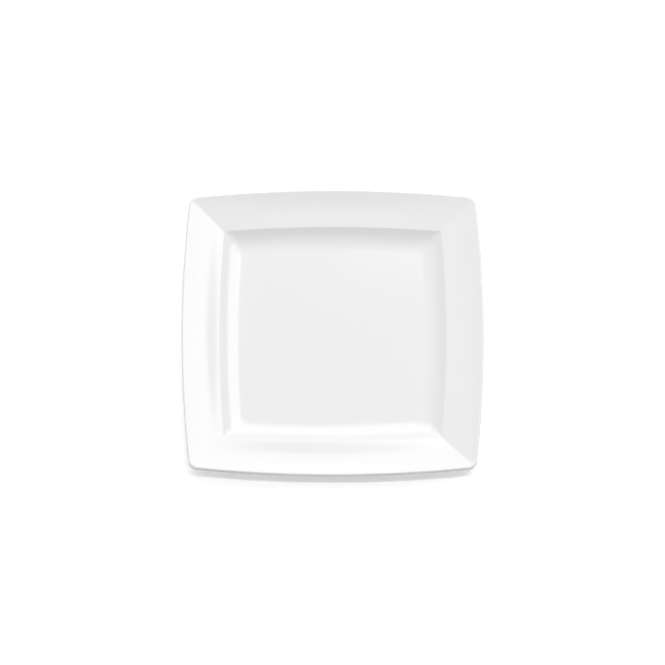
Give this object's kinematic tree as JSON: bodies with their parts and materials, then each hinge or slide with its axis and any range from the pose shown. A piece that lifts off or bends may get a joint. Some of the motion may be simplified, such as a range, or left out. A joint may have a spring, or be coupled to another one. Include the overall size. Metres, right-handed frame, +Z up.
{
  "type": "square dinner plate",
  "caption": "Square white glazed dinner plate with bowed sides, a wide rim creased into a sunken flat well, and a bare foot ring to stand on.",
  "frame": {"origin": "middle of the foot ring, on the table that it stands on", "axes": "+Z up out of the well; X and Y square to the sides, with the side nearest the camera in the picture facing -Y"},
  "size_m": [0.265, 0.265, 0.0208],
  "materials": {
    "fired_clay": "bare fired clay, matt, wiped clean of glaze",
    "white_glaze": "glossy white glaze"
  },
  "bodies": {
    "root": {"clay_body": "fired_clay", "glaze_coat": "white_glaze", "recess_glaze": "white_glaze"}
  },
  "joints": []
}
